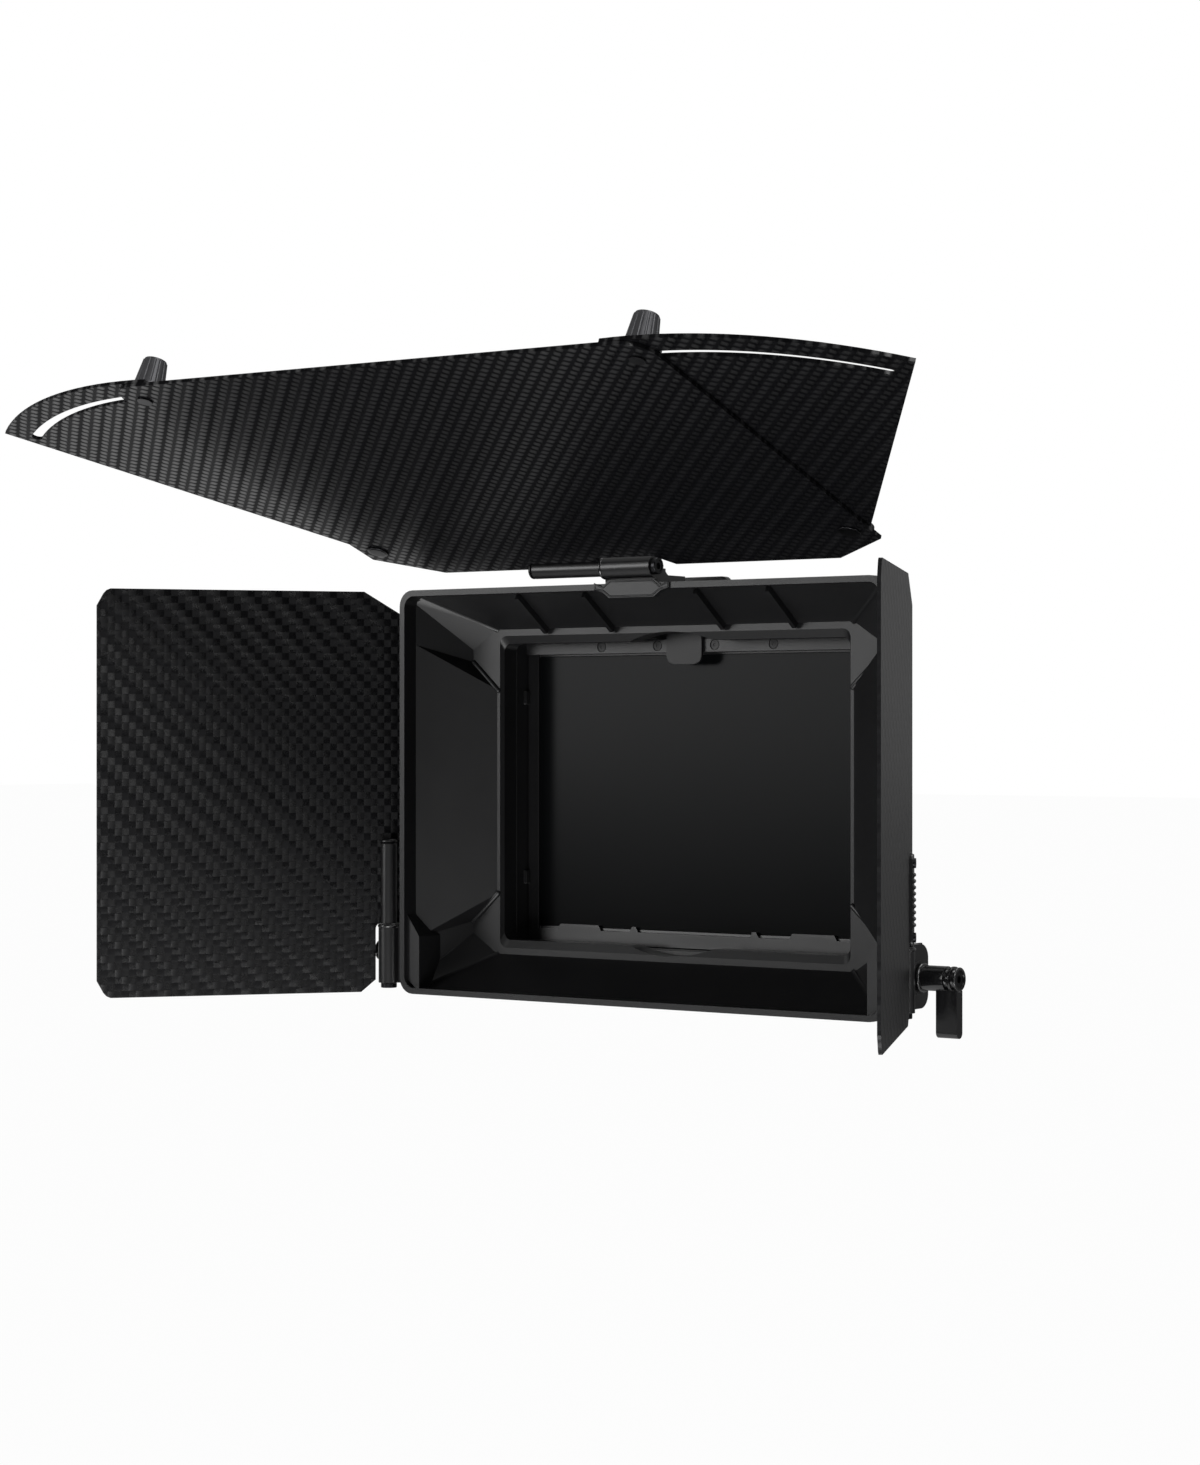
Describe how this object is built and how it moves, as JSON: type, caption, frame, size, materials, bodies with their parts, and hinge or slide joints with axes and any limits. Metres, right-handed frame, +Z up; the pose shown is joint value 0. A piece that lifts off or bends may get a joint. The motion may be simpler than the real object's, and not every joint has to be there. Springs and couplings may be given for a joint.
{
  "type": "matte box",
  "caption": "Clamp-on matte box: moulded hood, sliding filter tray, tilting top flag with two fold-out wings, and two swinging side flags.",
  "frame": {"origin": "on the optical axis at the rear face of the lens clamp ring", "axes": "+Z up, the hood looks along -Y, +Y along the optical axis towards the lens"},
  "size_m": [0.3742, 0.2184, 0.2305],
  "materials": {
    "moulded_plastic": "fine matte moulded texture",
    "black_anodised": "satin black anodised",
    "carbon_plate": "satin 2x2 twill carbon fibre",
    "dark_steel": "blackened steel",
    "knob_metal": "dark grey anodised, fluted",
    "filter_glass": "dark neutral density glass"
  },
  "bodies": {
    "root": {"hood": "moulded_plastic", "stage_housing": "moulded_plastic", "rear_plate": "black_anodised", "plate_screws": "dark_steel", "clamp_ring": "black_anodised", "ring_screws": "dark_steel", "left_bracket": "black_anodised", "right_bracket": "black_anodised", "top_bracket": "black_anodised"},
    "clamp_knob": {"clamp_knob": "black_anodised", "clamp_screw": "dark_steel"},
    "tray": {"tray_frame": "black_anodised", "tray_strip": "black_anodised", "strip_screws": "dark_steel", "filter_glass": "filter_glass"},
    "tray_latch": {"tray_latch": "black_anodised"},
    "left_flag": {"left_hinge_pin": "dark_steel", "left_hinge_barrel": "black_anodised", "left_hinge_strip": "black_anodised", "left_flag": "carbon_plate", "left_flag_screws": "dark_steel"},
    "right_flag": {"right_hinge_pin": "dark_steel", "right_hinge_barrel": "black_anodised", "right_hinge_strip": "black_anodised", "right_flag": "carbon_plate", "right_flag_screws": "dark_steel"},
    "top_flag": {"top_hinge_pin": "dark_steel", "top_hinge_barrel": "black_anodised", "top_hinge_strip": "black_anodised", "top_flag": "carbon_plate", "top_flag_screws": "dark_steel", "left_wing_rivet": "dark_steel", "right_wing_rivet": "dark_steel", "left_knob_stud": "dark_steel", "right_knob_stud": "dark_steel"},
    "left_wing": {"left_wing": "carbon_plate"},
    "right_wing": {"right_wing": "carbon_plate"},
    "left_knob": {"left_knob": "knob_metal"},
    "right_knob": {"right_knob": "knob_metal"},
    "left_lever": {"left_lever": "black_anodised", "left_lever_screw": "dark_steel"},
    "right_lever": {"right_lever": "black_anodised", "right_lever_screw": "dark_steel"},
    "top_lever": {"top_lever": "black_anodised", "top_lever_screw": "dark_steel"}
  },
  "joints": [
    {"name": "top_flag_tilt", "type": "hinge", "parent": "root", "child": "top_flag", "pos_m": [0, -0.0665, 0.0813], "axis": [-1, 0, 0], "range_deg": [-23, 50]},
    {"name": "left_flag_swing", "type": "hinge", "parent": "root", "child": "left_flag", "pos_m": [-0.1114, -0.0665, 0], "axis": [0, 0, -1], "range_deg": [-122.6, 20.4]},
    {"name": "right_flag_swing", "type": "hinge", "parent": "root", "child": "right_flag", "pos_m": [0.1114, -0.0665, 0], "axis": [0, 0, 1], "range_deg": [-110.2, 32.8]},
    {"name": "left_wing_fold", "type": "hinge", "parent": "top_flag", "child": "left_wing", "pos_m": [-0.1014, -0.08496, 0.08933], "axis": [0, 0.3437, 0.9391], "range_deg": [0, 34.5]},
    {"name": "right_wing_fold", "type": "hinge", "parent": "top_flag", "child": "right_wing", "pos_m": [0.1014, -0.08496, 0.08933], "axis": [0, -0.3437, -0.9391], "range_deg": [0, 34.5]},
    {"name": "left_knob_turn", "type": "hinge", "parent": "top_flag", "child": "left_knob", "pos_m": [-0.1014, -0.20836, 0.13449], "axis": [0, 0.3437, 0.9391], "continuous": true},
    {"name": "right_knob_turn", "type": "hinge", "parent": "top_flag", "child": "right_knob", "pos_m": [0.1014, -0.20836, 0.13449], "axis": [0, 0.3437, 0.9391], "continuous": true},
    {"name": "left_lever_turn", "type": "hinge", "parent": "root", "child": "left_lever", "pos_m": [-0.115, -0.0535, -0.0608], "axis": [-1, 0, 0], "range_deg": [0, 180]},
    {"name": "right_lever_turn", "type": "hinge", "parent": "root", "child": "right_lever", "pos_m": [0.115, -0.0535, -0.0608], "axis": [1, 0, 0], "range_deg": [0, 180]},
    {"name": "top_lever_turn", "type": "hinge", "parent": "root", "child": "top_lever", "pos_m": [-0.001, -0.0535, 0.0855], "axis": [0, 0, 1], "range_deg": [0, 180]},
    {"name": "tray_slide", "type": "slide", "parent": "root", "child": "tray", "axis": [0, 0, 1], "range_m": [0, 0.118]},
    {"name": "tray_latch_slide", "type": "slide", "parent": "tray", "child": "tray_latch", "axis": [0, 0, 1], "range_m": [0, 0.003], "stiffness_N_per_m": 150, "springref_m": -0.001},
    {"name": "clamp_knob_turn", "type": "hinge", "parent": "root", "child": "clamp_knob", "pos_m": [0, -0.007, 0.0635], "axis": [1, 0, 0], "continuous": true}
  ]
}
